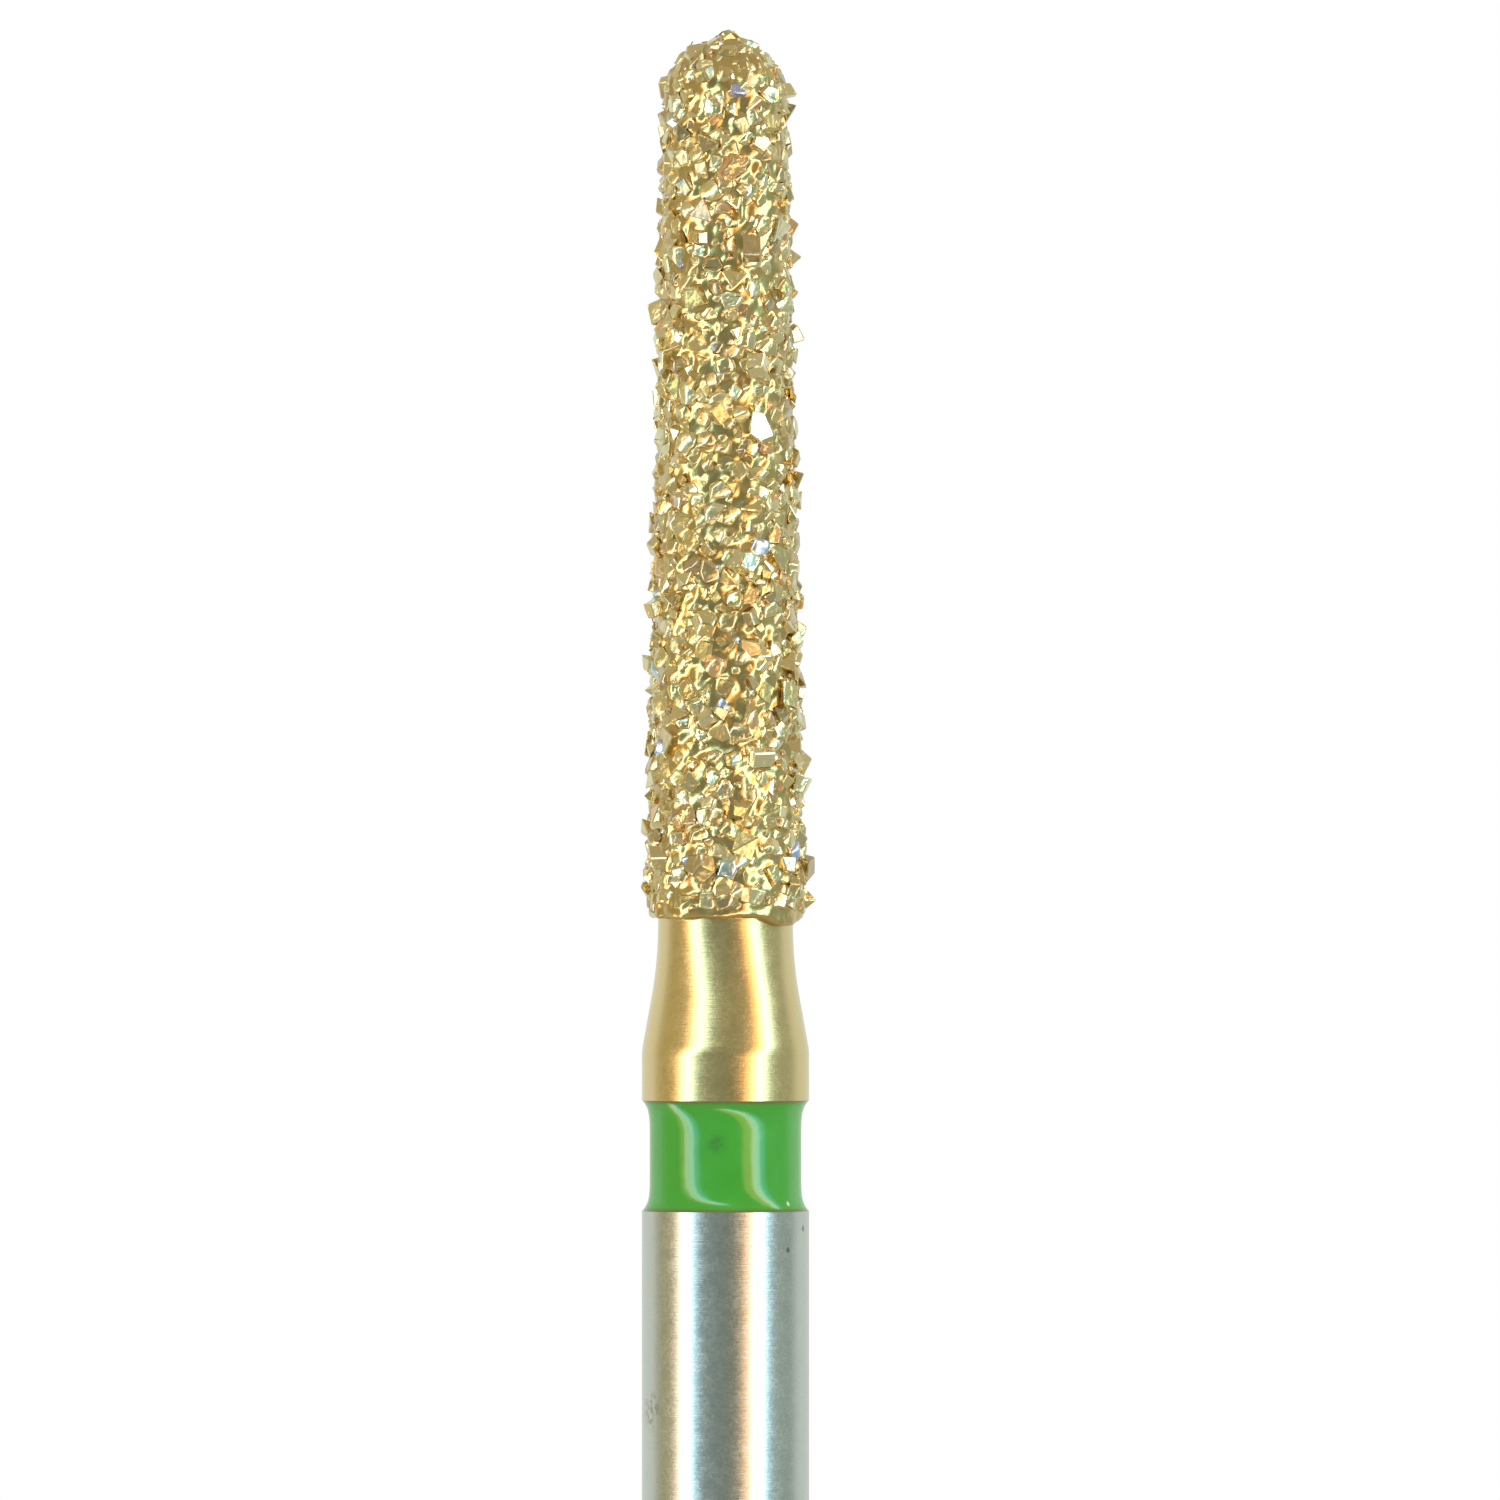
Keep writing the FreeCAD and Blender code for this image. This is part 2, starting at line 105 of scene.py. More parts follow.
def pick(piece):
    """Selects one piece alone and makes it the active one."""
    bpy.ops.object.select_all(action="DESELECT")
    piece.select_set(True)
    bpy.context.view_layer.objects.active = piece


def start_edit(piece):
    """Edit mode on one piece alone."""
    pick(piece)
    bpy.ops.object.mode_set(mode="EDIT")


def stop_edit():
    bpy.ops.object.mode_set(mode="OBJECT")


def apply_modifier(piece, kind, **settings):
    """Adds a modifier to a piece and applies it."""
    pick(piece)
    modifier = piece.modifiers.new(kind, kind)
    for name, setting in settings.items():
        setattr(modifier, name, setting)
    bpy.ops.object.modifier_apply(modifier=modifier.name)


def arc(centre, radius, start, end, steps):
    """Stations along an arc in the profile's plane, from one angle to another."""
    turns = [start + (end - start) * k / steps for k in range(steps + 1)]
    return [(centre[0] + radius * math.cos(t), centre[1] + radius * math.sin(t)) for t in turns]


def turn_piece(name, stations, sides):
    """A piece turned on the spindle: one ring, extruded and resized from station to station."""
    bpy.ops.object.select_all(action="DESELECT")
    radius, height = stations[0]
    bpy.ops.mesh.primitive_circle_add(
        vertices=sides, radius=radius, fill_type="NGON", location=(0, 0, height)
    )
    piece = bpy.context.object
    piece.name = name
    bpy.ops.object.transform_apply(location=True)
    start_edit(piece)
    bpy.ops.mesh.select_all(action="SELECT")
    for next_radius, next_height in stations[1:]:
        bpy.ops.mesh.extrude_region_move(
            TRANSFORM_OT_translate={"value": (0, 0, next_height - height)}
        )
        ratio = next_radius / radius
        bpy.ops.transform.resize(value=(ratio, ratio, 1), center_override=(0, 0, next_height))
        radius, height = next_radius, next_height
    bpy.ops.mesh.select_all(action="SELECT")
    bpy.ops.mesh.normals_make_consistent(inside=False)
    stop_edit()
    return piece


def shrink(piece):
    """From millimetres to metres, with the scale in the mesh."""
    pick(piece)
    piece.scale = (MM, MM, MM)
    bpy.ops.object.transform_apply(location=True, rotation=True, scale=True)


def dress(piece, material, slot, *stands_for):
    """The finish of a piece, what it rides on and which solids it stands for."""
    piece.data.materials.clear()
    piece.data.materials.append(material)
    shrink(piece)
    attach(piece, "root")
    if stands_for:
        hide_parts(*stands_for)


# Materials


class Signal:
    """A shader value that can be used in sums."""

    def __init__(self, paint, socket):
        self.paint = paint
        self.socket = socket

    def sum(self, operation, first, second):
        node = self.paint.node("ShaderNodeMath", {"operation": operation}, {0: first, 1: second})
        return self.paint.out(node, 0)

    def __add__(self, other):
        return self.sum("ADD", self, other)

    def __mul__(self, other):
        return self.sum("MULTIPLY", self, other)

    def __truediv__(self, other):
        return self.sum("DIVIDE", self, other)

    def __gt__(self, other):
        return self.sum("GREATER_THAN", self, other)


class Paint:
    """The nodes of a material or of the world."""

    def __init__(self, holder):
        holder.use_nodes = True
        self.holder = holder
        self.tree = holder.node_tree
        self.tree.nodes.clear()

    def node(self, kind, settings=None, sockets=None):
        node = self.tree.nodes.new(kind)
        for name, setting in (settings or {}).items():
            setattr(node, name, setting)
        for name, value in (sockets or {}).items():
            if isinstance(value, Signal):
                self.tree.links.new(value.socket, node.inputs[name])
            else:
                node.inputs[name].default_value = value
        return node

    def out(self, node, name):
        return Signal(self, node.outputs[name])

    def make(self, kind, settings=None, sockets=None, out=0):
        return self.out(self.node(kind, settings, sockets), out)

    def place(self, scale=1.0, stretch=(1, 1, 1)):
        """A point of the piece in millimetres, times a scale along each axis."""
        coordinates = self.make("ShaderNodeTexCoord", out="Object")
        along = tuple(scale * s / MM for s in stretch)
        return self.make("ShaderNodeMapping", None, {"Vector": coordinates, "Scale": along})

    def axis(self, name):
        """One coordinate of the piece, in millimetres."""
        parts = self.node("ShaderNodeSeparateXYZ", None, {0: self.place()})
        return self.out(parts, name)

    def noise(self, size, detail=2.0, roughness=0.5, stretch=(1, 1, 1)):
        """Cloudy noise from 0 to 1 whose patches are that many millimetres across."""
        place = self.place(1 / size, stretch)
        sockets = {"Vector": place, "Scale": 1.0, "Detail": detail, "Roughness": roughness}
        return self.make("ShaderNodeTexNoise", None, sockets, "Fac")

    def spot(self, point, radius):
        """1 within a blurred ball round a point of the piece, 0 outside: both in millimetres."""
        sockets = {0: self.place(), 1: point}
        away = self.make("ShaderNodeVectorMath", {"operation": "DISTANCE"}, sockets, "Value")
        return self.tone(away, radius * 0.4, radius, 1, 0)

    def ramp(self, value, stops):
        """A colour looked up along a value: stops are (place, colour)."""
        node = self.node("ShaderNodeValToRGB", None, {0: value})
        elements = node.color_ramp.elements
        for index, (position, tint) in enumerate(stops):
            element = elements[index] if index < 2 else elements.new(position)
            element.position = position
            element.color = (*tint, 1)
        return self.out(node, "Color")

    def tone(self, value, low, high, to_low, to_high):
        """A value carried from one range to another, and held at its ends."""
        sockets = {"Value": value, "From Min": low, "From Max": high, "To Min": to_low, "To Max": to_high}
        return self.make("ShaderNodeMapRange", None, sockets, "Result")

    def mix(self, factor, first, second):
        """One colour into another."""
        sockets = {"Factor": factor, 6: first, 7: second}
        return self.make("ShaderNodeMix", {"data_type": "RGBA"}, sockets, 2)

    def bump(self, height, distance, strength=1.0, normal=None):
        sockets = {"Height": height, "Distance": distance * MM, "Strength": strength}
        if normal:
            sockets["Normal"] = normal
        return self.make("ShaderNodeBump", None, sockets, "Normal")

    def surface(self, **sockets):
        """The finished surface: sockets of the shader, named with _ for a space."""
        named = {name.replace("_", " "): value for name, value in sockets.items()}
        shader = self.make("ShaderNodeBsdfPrincipled", None, named, "BSDF")
        self.node("ShaderNodeOutputMaterial", None, {"Surface": shader})
        return self.holder


def colour(red, green, blue):
    return (red, green, blue, 1.0)


def on_front(pixel_x, pixel_y, radius):
    """The point of a round bar of that radius that the photograph shows at a pixel."""
    across = (pixel_x - SPINDLE_PIXEL) / PHOTO_SCALE
    height = RING_FOOT + (RING_FOOT_PIXEL - pixel_y) / PHOTO_SCALE
    return (across, -math.sqrt(radius**2 - across**2), height)


def steel_finish():
    """Ground steel below the colour ring, gold-toned above it, with fine turning lines and a few marks."""
    paint = Paint(bpy.data.materials.new("ground_steel"))
    height = paint.axis("Z")
    speckle = paint.tone(paint.noise(0.035, 3.0, 0.75), 0.3, 0.7, 0, 1)
    patches = paint.tone(paint.noise(0.16, 2.0, 0.6), 0.3, 0.7, 0, 1)
    mottle = speckle * 0.6 + patches * 0.4
    lines = paint.noise(0.011, 2.0, 0.6, stretch=(0.03, 0.03, 1))
    gilt = height > (RING_FOOT + RING_TOP) / 2
    plain = paint.mix(mottle, colour(0.53, 0.54, 0.52), colour(0.66, 0.67, 0.64))
    warm = paint.mix(mottle, colour(0.73, 0.53, 0.23), colour(0.80, 0.62, 0.30))
    metal = paint.mix(gilt, plain, warm)
    marks = paint.spot(on_front(788, 1249, SHANK_R), 0.035) + paint.spot(on_front(803, 1228, SHANK_R), 0.04)
    smudge = paint.spot(on_front(651, 1410, SHANK_R), 0.22) * paint.tone(paint.noise(0.06), 0.45, 0.6, 0, 1)
    stained = paint.mix(marks * 0.75 + smudge * 0.5, metal, colour(0.16, 0.13, 0.10))
    rough = paint.tone(mottle, 0.2, 0.8, 0.2, 0.3)
    ground = paint.bump(lines, 0.0015, 0.6, paint.bump(speckle, 0.001, 0.25))
    return paint.surface(
        Base_Color=stained,
        Metallic=1.0,
        Roughness=rough,
        Coat_Weight=gilt * 0.5,
        Coat_Roughness=0.14,
        Coat_IOR=1.9,
        Normal=ground,
    )


def lacquer_finish():
    """Glossy green lacquer with a dark blotch and a small painted white glint, thin and olive where it meets the
    metal.
    """
    paint = Paint(bpy.data.materials.new("green_lacquer"))
    height = paint.axis("Z")
    mottle = paint.tone(paint.noise(0.3, 2.0, 0.5), 0.3, 0.7, 0, 1)
    body = paint.mix(mottle, colour(0.046, 0.40, 0.026), colour(0.060, 0.44, 0.036))
    waist = SHANK_R - RING_SINK
    blotch = paint.spot(on_front(717, 1143, waist), 0.13) * paint.tone(paint.noise(0.05), 0.35, 0.6, 0.2, 1)
    # A small near-white spot painted into the colour stands in for a glint on the lacquer; it is painted light,
    # not a mark.
    painted_glint = paint.spot(on_front(788, 1203, waist + 0.02), 0.03)
    # The dark blotch is mixed in first, then the painted glint over it.
    blotch_and_glint = paint.mix(painted_glint, paint.mix(blotch * 0.45, body, colour(0.03, 0.14, 0.03)), colour(0.8, 0.9, 0.75))
    top = paint.tone(height, RING_TOP - 0.04, RING_TOP - 0.012, 0, 1)
    foot = paint.tone(height, RING_FOOT + 0.04, RING_FOOT + 0.012, 0, 1)
    return paint.surface(
        Base_Color=paint.mix(top + foot, blotch_and_glint, colour(0.13, 0.20, 0.04)),
        Roughness=paint.tone(mottle, 0.0, 1.0, 0.12, 0.16),
        Specular_IOR_Level=0.95,
        Normal=paint.bump(mottle, 0.004, 0.25),
    )


def bond_finish():
    """Gold-toned plating, in random patches that are darker and browner or paler."""
    paint = Paint(bpy.data.materials.new("gold_bond"))
    patches = paint.tone(paint.noise(0.15, 2.0, 0.6), 0.3, 0.7, 0, 1)
    ripples = paint.noise(0.06, 2.0, 0.5)
    return paint.surface(
        Base_Color=paint.mix(patches, colour(0.58, 0.39, 0.13), colour(0.66, 0.50, 0.19)),
        Metallic=1.0,
        Roughness=paint.tone(patches, 0, 1, 0.16, 0.26),
        Coat_Weight=0.4,
        Coat_IOR=2.3,
        Coat_Roughness=0.07,
        Normal=paint.bump(ripples, 0.005, 0.6),
    )


def grain_finish():
    """Broken crystals under a gold-toned skin, each of its own tone; the rare orange, grey-blue and violet tones
    are painted coloured glints.
    """
    paint = Paint(bpy.data.materials.new("diamond_grain"))
    own = paint.make("ShaderNodeAttribute", {"attribute_name": "grain_tone"}, None, "Fac")
    chips = paint.noise(0.11, 2.0, 0.5)
    luck = paint.make("ShaderNodeMath", {"operation": "FRACT"}, {0: own * 37.0})
    # Stops up to 0.95 are the grains' own tones; the orange, grey-blue and violet stops above them are painted
    # coloured glints.
    tones = [
        (0.0, (0.46, 0.31, 0.09)),
        (0.2, (0.65, 0.45, 0.14)),
        (0.6, (0.77, 0.59, 0.20)),
        (0.95, (0.83, 0.73, 0.42)),
        (0.955, (0.86, 0.46, 0.15)),
        (0.978, (0.84, 0.50, 0.18)),
        (0.982, (0.55, 0.68, 0.70)),
        (0.995, (0.52, 0.66, 0.76)),
        (0.998, (0.45, 0.47, 0.95)),
        (1.0, (0.45, 0.47, 0.95)),
    ]
    return paint.surface(
        Base_Color=paint.ramp(own, tones),
        Metallic=1.0,
        Roughness=paint.tone(luck, 0.1, 0.7, 0.14, 0.3) + paint.tone(chips, 0.3, 0.7, 0, 0.08),
        Coat_Weight=1.0,
        Coat_IOR=2.6,
        Coat_Roughness=0.08,
        Normal=paint.bump(chips, 0.026, 1.0),
    )


# Turned pieces


def blend_stations(corner, before, after, radius, steps):
    """The arc that rounds a corner of the profile between the straight lines to its two neighbours."""
    corner, before, after = Vector(corner), Vector(before), Vector(after)
    back, on = (before - corner).normalized(), (after - corner).normalized()
    half = back.angle(on) / 2
    centre = corner + (back + on).normalized() * (radius / math.sin(half))
    first = corner + back * (radius / math.tan(half))
    last = corner + on * (radius / math.tan(half))
    stations = []
    for step in range(steps + 1):
        along = (first - centre).lerp(last - centre, step / steps).normalized()
        stations.append(tuple(centre + along * radius))
    return stations


def make_blank():
    """Shank, groove, land, shoulder, neck and core."""
    shank_rows, corner_rows, end_rows, sides = 6, 10, 12, 256
    groove_r = SHANK_R - RING_SINK - RING_FILM
    land, neck = (SHANK_R, LAND_TOP), (NECK_R, NECK_FOOT)
    stations = [(SHANK_R - SHANK_END_BEVEL, 0), (SHANK_R, SHANK_END_BEVEL)]
    for row in range(1, shank_rows + 1):
        stations.append((SHANK_R, SHANK_END_BEVEL + (RING_FOOT - SHANK_END_BEVEL) * row / shank_rows))
    stations += [(groove_r, RING_FOOT), (groove_r, RING_TOP), (SHANK_R, RING_TOP)]
    stations += blend_stations(land, (SHANK_R, RING_TOP), neck, SHOULDER_BEND, corner_rows)
    stations += blend_stations(neck, land, (NECK_R, HEAD_FOOT), FLARE_BEND, corner_rows)
    stations += [(NECK_R, HEAD_FOOT)]
    stations += arc((0, BALL_Z), CORE_BALL_R, TAPER, math.radians(88), end_rows)
    return turn_piece("blank", stations, sides)


def make_lacquer():
    """The lacquer: a hollow skin that climbs smoothly to the metal at both ends."""
    half_rows, sides, straightness = 24, 192, 7
    groove_r = SHANK_R - RING_SINK - RING_FILM
    middle, half = (RING_FOOT + RING_TOP) / 2, (RING_TOP - RING_FOOT) / 2
    stations = [(groove_r, RING_FOOT)]
    for row in range(-half_rows, half_rows + 1):
        away = math.sin(math.pi / 2 * row / half_rows)
        sink = LACQUER_SINK * (1 - abs(away) ** straightness)
        stations.append((SHANK_R - sink, middle + half * away))
    stations += [(groove_r, RING_TOP)]
    return turn_piece("lacquer_ring", stations, sides)


def ripple(piece, size, height):
    """Pushes a piece's surface out and in with a cloudy pattern of that size."""
    pattern = bpy.data.textures.new("ripples", "CLOUDS")
    pattern.noise_scale = size
    apply_modifier(piece, "DISPLACE", texture=pattern, strength=height, mid_level=0.5)


def make_coat():
    """The plated coat on the head's core, with a lip that droops at the right of the front."""
    side_rows, end_rows, sides = 370, 26, 224
    droop_at, droop_by, droop_reach = Vector((0.62, -0.42, HEAD_FOOT)), (0.01, -0.01, -0.085), 0.42
    inner_r = NECK_R - 0.02
    foot, shoulder = (COAT_FOOT_R, HEAD_FOOT + LIP), arc((0, BALL_Z), COAT_BALL_R, TAPER, TAPER, 1)[0]
    stations = [(inner_r, HEAD_FOOT + 0.25), (inner_r, HEAD_FOOT)]
    stations += [(NECK_R + 0.03, HEAD_FOOT - 0.003), (COAT_FOOT_R - LIP, HEAD_FOOT)]
    for row in range(side_rows):
        share = row / side_rows
        stations.append(tuple(a + (b - a) * share for a, b in zip(foot, shoulder)))
    stations += arc((0, BALL_Z), COAT_BALL_R, TAPER, math.radians(88.5), end_rows)
    coat = turn_piece("plated_coat", stations, sides)
    start_edit(coat)
    bpy.ops.mesh.select_mode(type="VERT")
    bpy.ops.mesh.select_all(action="DESELECT")
    stop_edit()
    nearest = min(coat.data.vertices, key=lambda vertex: (vertex.co - droop_at).length)
    nearest.select = True
    start_edit(coat)
    bpy.ops.transform.translate(
        value=droop_by,
        use_proportional_edit=True,
        proportional_edit_falloff="SMOOTH",
        proportional_size=droop_reach,
    )
    stop_edit()
    ripple(coat, RIPPLE_SIZE, RIPPLE_HEIGHT)
    return coat


def plate_up(coat, grains, rise, reach):
    """Draws the coat up round the grains that stand on it, as far from them as the reach."""
    group, add, entry, leave = new_nodes(f"plating_{grains.name}")
    target = add("GeometryNodeObjectInfo", {"Object": grains}, transform_space="RELATIVE")
    near = add("GeometryNodeProximity", {0: target.outputs["Geometry"]}, target_element="FACES")
    lift = add(
        "ShaderNodeMapRange",
        {"Value": near.outputs["Distance"], "From Min": 0.0, "From Max": reach, "To Min": rise, "To Max": 0.0},
        interpolation_type="SMOOTHSTEP",
    )
    up = add("ShaderNodeVectorMath", operation="SCALE")
    group.links.new(add("GeometryNodeInputNormal").outputs[0], up.inputs[0])
    group.links.new(lift.outputs["Result"], up.inputs["Scale"])
    raised = add("GeometryNodeSetPosition", {"Geometry": entry.outputs[0], "Offset": up.outputs[0]})
    group.links.new(raised.outputs[0], leave.inputs[0])
    apply_modifier(coat, "NODES", node_group=group)


# Grains


def grain_shape(name, seed, sides):
    """One broken crystal of about 1 across that lies on its broad side: a jolted block, cut to flat facets."""
    block, jolt, top, nearest_cut, farthest_cut, worn_edge = 0.9, 0.08, 0.2, 0.3, 0.4, 0.06
    soft_angle, sharp_angle = 55, 30
    bpy.ops.object.select_all(action="DESELECT")
    bpy.ops.mesh.primitive_cube_add(size=block)
    grain = bpy.context.object
    grain.name = name
    rng = random.Random(seed)
    start_edit(grain)
    bpy.ops.mesh.select_all(action="SELECT")
    bpy.ops.transform.vertex_random(offset=jolt, uniform=0.0, normal=0.0, seed=seed)
    cuts = [(rng.uniform(0, 2 * math.pi), math.radians(rng.uniform(72, 90)), top)]
    spin = rng.uniform(0, 2 * math.pi)
    for side in range(sides):
        around = spin + (side + rng.uniform(-0.3, 0.3)) * 2 * math.pi / sides
        cuts.append((around, math.radians(rng.uniform(5, 55)), rng.uniform(nearest_cut, farthest_cut)))
    for around, rise, away in cuts:
        flat = Vector((math.cos(around) * math.cos(rise), math.sin(around) * math.cos(rise), math.sin(rise)))
        bpy.ops.mesh.select_all(action="SELECT")
        bpy.ops.mesh.bisect(plane_co=flat * away, plane_no=flat, use_fill=True, clear_outer=True)
    bpy.ops.mesh.select_all(action="SELECT")
    bpy.ops.mesh.dissolve_limited(angle_limit=math.radians(10))
    bpy.ops.mesh.normals_make_consistent(inside=False)
    stop_edit()
    apply_modifier(grain, "BEVEL", width=worn_edge, segments=1, limit_method="ANGLE", use_clamp_overlap=False)
    # Each third shape is soft, the others are faceted.
    bpy.ops.object.shade_smooth_by_angle(angle=math.radians(soft_angle if seed % 3 == 0 else sharp_angle))
    return grain


def grain_box(name, seeds, sides, material):
    """A collection of grain shapes to pick from."""
    box = bpy.data.collections.new(name)
    for seed in seeds:
        grain = grain_shape(f"{name}_{seed}", seed, sides)
        grain.data.materials.append(material)
        for holder in list(grain.users_collection):
            holder.objects.unlink(grain)
        box.objects.link(grain)
    return box


def new_nodes(name):
    """An empty node group for a geometry, with a short way to add nodes to it."""
    group = bpy.data.node_groups.new(name, "GeometryNodeTree")
    group.interface.new_socket("Before", in_out="INPUT", socket_type="NodeSocketGeometry")
    group.interface.new_socket("After", in_out="OUTPUT", socket_type="NodeSocketGeometry")

    def add(kind, sockets=None, **settings):
        node = group.nodes.new(kind)
        for key, setting in settings.items():
            setattr(node, key, setting)
        for key, value in (sockets or {}).items():
            if isinstance(value, bpy.types.NodeSocket):
                group.links.new(value, node.inputs[key])
            else:
                node.inputs[key].default_value = value
        return node

    return group, add, add("NodeGroupInput"), add("NodeGroupOutput")


def coat_radius(height):
    """The coat's radius at a height, without its ripples."""
    shoulder = BALL_Z + COAT_BALL_R * math.sin(TAPER)
    if height > shoulder:
        return math.sqrt(COAT_BALL_R**2 - (height - BALL_Z) ** 2)
    share = (height - HEAD_FOOT - LIP) / (shoulder - HEAD_FOOT - LIP)
    return COAT_FOOT_R + (COAT_BALL_R * math.cos(TAPER) - COAT_FOOT_R) * share


def draw_seats(name, spacing, seed):
    """Loose points strewn over the coat's form, none nearer to another than the spacing.

    They are drawn here, because Blender's own scatter node doesn't give the same points in each run.
    """
    rng = random.Random(seed)
    tries_per_seat = 4
    foot = HEAD_FOOT + SEAT_RISE
    widest = 2 * math.pi * COAT_FOOT_R * (APEX - foot)
    rows = [[] for _ in range(int((APEX - foot) / spacing) + 3)]
    for _ in range(int(tries_per_seat * widest / spacing**2)):
        turn, height, luck = rng.uniform(0, 2 * math.pi), rng.uniform(foot, APEX), rng.uniform(0, COAT_FOOT_R)
        radius = coat_radius(height)
        seat = Vector((radius * math.cos(turn), radius * math.sin(turn), height))
        row = int((height - foot) / spacing) + 1
        near = rows[row - 1] + rows[row] + rows[row + 1]
        # A narrower height has less skin, so it gets fewer seats; round the ball each height has as much.
        if luck < max(radius, COAT_BALL_R) and all((seat - other).length > spacing for other in near):
            rows[row].append(seat)
    mesh = bpy.data.meshes.new(name)
    mesh.from_pydata([seat for row in rows for seat in row], [], [])
    seats = bpy.data.objects.new(name, mesh)
    bpy.context.scene.collection.objects.link(seats)
    return seats


def sprinkle(coat, name, shapes, spacing, sizes, lean, seed, keep_off, clearance):
    """A piece made of leaning grains on the coat, off another piece: sizes are least and greatest."""
    squash = (1, 1, 0.7)
    group, add, entry, leave = new_nodes(name)
    other = add("GeometryNodeObjectInfo", {"Object": keep_off}, transform_space="RELATIVE")
    near = add("GeometryNodeProximity", {0: other.outputs["Geometry"]}, target_element="FACES")
    close = add("ShaderNodeMath", {0: near.outputs["Distance"], 1: clearance}, operation="LESS_THAN")
    fewer = add("GeometryNodeDeleteGeometry", {"Geometry": entry.outputs[0]}, domain="POINT")
    group.links.new(close.outputs[0], fewer.inputs["Selection"])
    skin = add("GeometryNodeObjectInfo", {"Object": coat}, transform_space="RELATIVE").outputs["Geometry"]
    onto = add("GeometryNodeProximity", {0: skin}, target_element="FACES")
    seated = add("GeometryNodeSetPosition", {"Geometry": fewer.outputs[0], "Position": onto.outputs["Position"]})
    normal = add("GeometryNodeInputNormal").outputs[0]
    up = add("GeometryNodeSampleNearestSurface", {"Mesh": skin, "Value": normal}, data_type="FLOAT_VECTOR")
    upright = add("FunctionNodeAlignRotationToVector", {"Vector": up.outputs["Value"]}, axis="Z")
    turn = add("FunctionNodeRandomValue", {"Seed": seed + 1}, data_type="FLOAT_VECTOR")
    turn.inputs[0].default_value = (-lean, -lean, 0)
    turn.inputs[1].default_value = (lean, lean, 2 * math.pi)
    size = add("FunctionNodeRandomValue", {"Seed": seed + 2}, data_type="FLOAT")
    size.inputs[2].default_value = sizes[0]
    size.inputs[3].default_value = sizes[1]
    flat = add("ShaderNodeVectorMath", {0: size.outputs[1], 1: squash}, operation="MULTIPLY")
    pick = add(
        "GeometryNodeCollectionInfo", {"Collection": shapes, "Separate Children": True, "Reset Children": True}
    )
    grains = add(
        "GeometryNodeInstanceOnPoints",
        {
            "Points": seated.outputs[0],
            "Instance": pick.outputs[0],
            "Pick Instance": True,
            "Rotation": upright.outputs[0],
            "Scale": flat.outputs[0],
        },
    )
    grains = add("GeometryNodeRotateInstances", {"Instances": grains.outputs[0], "Rotation": turn.outputs[0]})
    tone = add("FunctionNodeRandomValue", {"Seed": seed + 3}, data_type="FLOAT")
    kept = add(
        "GeometryNodeStoreNamedAttribute",
        {"Geometry": grains.outputs[0], "Name": "grain_tone", "Value": tone.outputs[1]},
        domain="INSTANCE",
        data_type="FLOAT",
    )
    real = add("GeometryNodeRealizeInstances", {"Geometry": kept.outputs[0]})
    group.links.new(real.outputs[0], leave.inputs[0])
    piece = draw_seats(name, spacing, seed)
    apply_modifier(piece, "NODES", node_group=group)
    return piece


def make_crystals():
    """The large crystals, from the solids, with their edges worn."""
    wear, smooth_angle = 0.01, math.radians(25)
    solids = frame["nodes"]["diamond_grit"]
    crystals = solids.copy()
    crystals.data = solids.data.copy()
    for key in list(crystals.keys()):
        del crystals[key]
    crystals.parent = None
    crystals.name = "large_crystals"
    bpy.context.scene.collection.objects.link(crystals)
    pick(crystals)
    crystals.scale = (1 / MM,) * 3
    bpy.ops.object.transform_apply(scale=True)
    start_edit(crystals)
    bpy.ops.mesh.select_all(action="SELECT")
    bpy.ops.mesh.remove_doubles(threshold=0.0002)
    bpy.ops.mesh.dissolve_limited(angle_limit=math.radians(1))
    bpy.ops.mesh.normals_make_consistent(inside=False)
    stop_edit()
    worn = {"limit_method": "ANGLE", "angle_limit": smooth_angle, "use_clamp_overlap": False}
    apply_modifier(crystals, "BEVEL", width=wear, segments=1, **worn)
    bpy.ops.object.shade_smooth_by_angle(angle=smooth_angle)
    tones = crystals.data.attributes.new("grain_tone", "FLOAT", "POINT")
    give_tones(crystals, tones)
    return crystals


def give_tones(crystals, tones):
    """One random tone for all the points of each crystal."""
    # Tones above that are the rare orange, grey-blue and violet ones, painted coloured glints rather than
    # colours of the grains, of which the large crystals have few.
    highest_tone = 0.98
    rng = random.Random(5)
    group = list(range(len(crystals.data.vertices)))

    def root(index):
        while group[index] != index:
            group[index] = group[group[index]]
            index = group[index]
        return index

    for edge in crystals.data.edges:
        first, second = root(edge.vertices[0]), root(edge.vertices[1])
        group[max(first, second)] = min(first, second)
    chosen = {}
    for index in range(len(group)):
        tones.data[index].value = chosen.setdefault(root(index), rng.uniform(0, highest_tone))


# The studio


def make_lamp(name, azimuth, width, height, distance, tilt, radiance, tint):
    """An area lamp that faces the head, at an azimuth from the camera's side towards +X."""
    data = bpy.data.lights.new(name, "AREA")
    data.shape = "RECTANGLE"
    data.size = width
    data.size_y = height
    data.color = tint
    data.energy = radiance * math.pi * width * height
    lamp = bpy.data.objects.new(name, data)
    bpy.context.scene.collection.objects.link(lamp)
    turn = math.radians(azimuth)
    aim = Vector((0, 0, 0.015))
    lamp.location = aim + Vector((math.sin(turn), -math.cos(turn), 0)) * distance
    lamp.rotation_euler = (aim - lamp.location).to_track_quat("-Z", "Y").to_euler()
    lamp.rotation_euler.rotate_axis("Z", tilt)
    lamp.visible_camera = False


